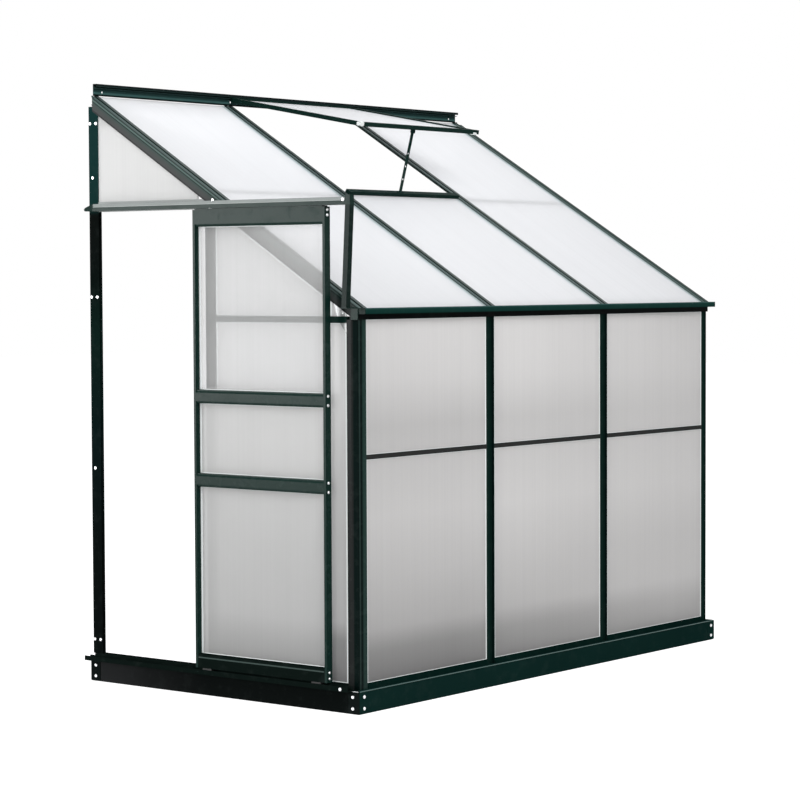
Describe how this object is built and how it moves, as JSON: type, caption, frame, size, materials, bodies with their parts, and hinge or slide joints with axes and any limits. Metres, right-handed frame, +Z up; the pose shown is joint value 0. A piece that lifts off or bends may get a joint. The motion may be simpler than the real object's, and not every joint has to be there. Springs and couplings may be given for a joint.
{
  "type": "lean-to greenhouse",
  "caption": "Lean-to greenhouse with a single-pitch roof, twin-wall sheet in dark green bars, a sliding end door and a propped roof vent.",
  "frame": {"origin": "on the ground, under the middle of the overall box", "axes": "+X along the house wall from the door end to the far end, +Y towards the wall, +Z up"},
  "size_m": [2.294, 1.274, 2.15],
  "materials": {
    "green_powder_coat": "dark green powder coat, satin",
    "base_coat": "dark green paint on galvanised steel, satin",
    "twin_wall_sheet": "translucent clear twin-wall sheet with fine flutes",
    "door_sheet": "translucent clear twin-wall sheet with fine flutes",
    "zinc_bolt": "bright zinc",
    "grey_bracket": "mill finish",
    "nylon": "moulded, matt"
  },
  "bodies": {
    "frame": {"base_front_rail": "base_coat", "base_door_end_rail": "base_coat", "base_far_end_rail": "base_coat", "base_corner_brackets": "base_coat", "front_sills": "green_powder_coat", "door_end_sill": "green_powder_coat", "far_end_sill": "green_powder_coat", "front_post_door_end": "green_powder_coat", "front_post_far_end": "green_powder_coat", "front_stud_door_side": "green_powder_coat", "front_stud_far_side": "green_powder_coat", "wall_post_door_end": "green_powder_coat", "wall_post_far_end": "green_powder_coat", "door_jamb_post": "green_powder_coat", "far_end_stud": "green_powder_coat", "eave_gutter": "green_powder_coat", "gutter_end_caps": "green_powder_coat", "ridge_bar": "green_powder_coat", "rafter_door_end": "green_powder_coat", "rafter_door_side": "green_powder_coat", "rafter_far_side": "green_powder_coat", "rafter_far_end": "green_powder_coat", "roof_purlins": "green_powder_coat", "vent_sill": "green_powder_coat", "front_middle_strips": "green_powder_coat", "door_end_eave_rail": "green_powder_coat", "door_lintel": "green_powder_coat", "far_end_eave_rails": "green_powder_coat", "front_lower_panels": "twin_wall_sheet", "front_upper_panels": "twin_wall_sheet", "roof_panel_door_bay": "twin_wall_sheet", "roof_panel_middle_bay": "twin_wall_sheet", "roof_panel_far_bay": "twin_wall_sheet", "door_end_panels": "twin_wall_sheet", "far_end_panels": "twin_wall_sheet", "eave_gussets": "grey_bracket", "door_slide_rail": "green_powder_coat", "door_rail_strut": "green_powder_coat", "door_rail_brackets": "green_powder_coat", "door_bottom_track": "green_powder_coat", "frame_bolts": "zinc_bolt"},
    "door": {"door_front_stile": "green_powder_coat", "door_rear_stile": "green_powder_coat", "door_top_rail": "green_powder_coat", "door_bottom_rail": "green_powder_coat", "door_middle_rails": "green_powder_coat", "door_upper_pane": "door_sheet", "door_middle_pane": "door_sheet", "door_lower_pane": "door_sheet", "door_hangers": "grey_bracket", "door_guides": "nylon", "door_bolts": "zinc_bolt"},
    "door_roller_front_wheels": {"door_roller_front": "nylon"},
    "door_roller_rear_wheels": {"door_roller_rear": "nylon"},
    "vent": {"vent_side_bars": "green_powder_coat", "vent_bottom_bar": "green_powder_coat", "vent_hinge_bar": "green_powder_coat", "vent_pane": "twin_wall_sheet", "vent_stay_bracket": "green_powder_coat"},
    "stay": {"vent_stay_arm": "green_powder_coat"}
  },
  "joints": [
    {"name": "door_slide", "type": "slide", "parent": "frame", "child": "door", "axis": [0, 1, 0], "range_m": [0, 0.53]},
    {"name": "door_roller_front_spin", "type": "hinge", "parent": "door", "child": "door_roller_front_wheels", "pos_m": [-1.128, -0.438, 1.7013], "axis": [1, 0, 0], "continuous": true},
    {"name": "door_roller_rear_spin", "type": "hinge", "parent": "door", "child": "door_roller_rear_wheels", "pos_m": [-1.128, 0.016, 1.7013], "axis": [1, 0, 0], "continuous": true},
    {"name": "vent_hinge", "type": "hinge", "parent": "frame", "child": "vent", "pos_m": [0.018, 0.627, 2.1393], "axis": [-1, 0, 0], "range_deg": [-21, 0]},
    {"name": "stay_pivot", "type": "hinge", "parent": "vent", "child": "stay", "pos_m": [0.0195, 0.02262, 2.00343], "axis": [-1, 0, 0], "range_deg": [-86, 0]}
  ],
  "couplings": [
    {"joint": "door_roller_front_spin", "follows": "door_slide", "rad_per_m": -111.11},
    {"joint": "door_roller_rear_spin", "follows": "door_slide", "rad_per_m": -111.11},
    {"joint": "stay_pivot", "follows": "vent_hinge", "ratio": 4.065}
  ]
}
